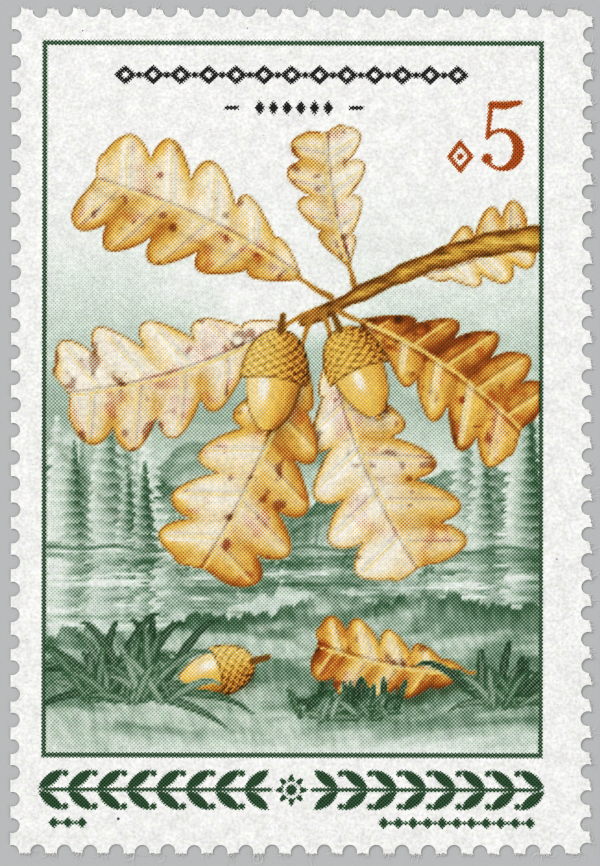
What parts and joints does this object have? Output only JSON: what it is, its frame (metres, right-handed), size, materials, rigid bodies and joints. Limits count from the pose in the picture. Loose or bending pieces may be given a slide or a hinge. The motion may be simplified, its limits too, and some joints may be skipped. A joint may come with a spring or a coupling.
{
  "type": "postage stamp",
  "caption": "Flat postage stamp of thin coated paper with perforated edges, a framed colour print with a plain face value, and a dry gum back that sticks it to a letter.",
  "frame": {"origin": "on the gummed underside, at the middle of the stamp's length and width over the tips of its teeth", "axes": "+Z out of the printed face, +Y towards the top of the print along the long side, +X towards its right-hand side"},
  "size_m": [0.0332, 0.0484, 0.0001],
  "materials": {
    "paper": "matte",
    "gum": "satin"
  },
  "bodies": {
    "root": {"paper": "paper", "gum": "gum"}
  },
  "joints": []
}
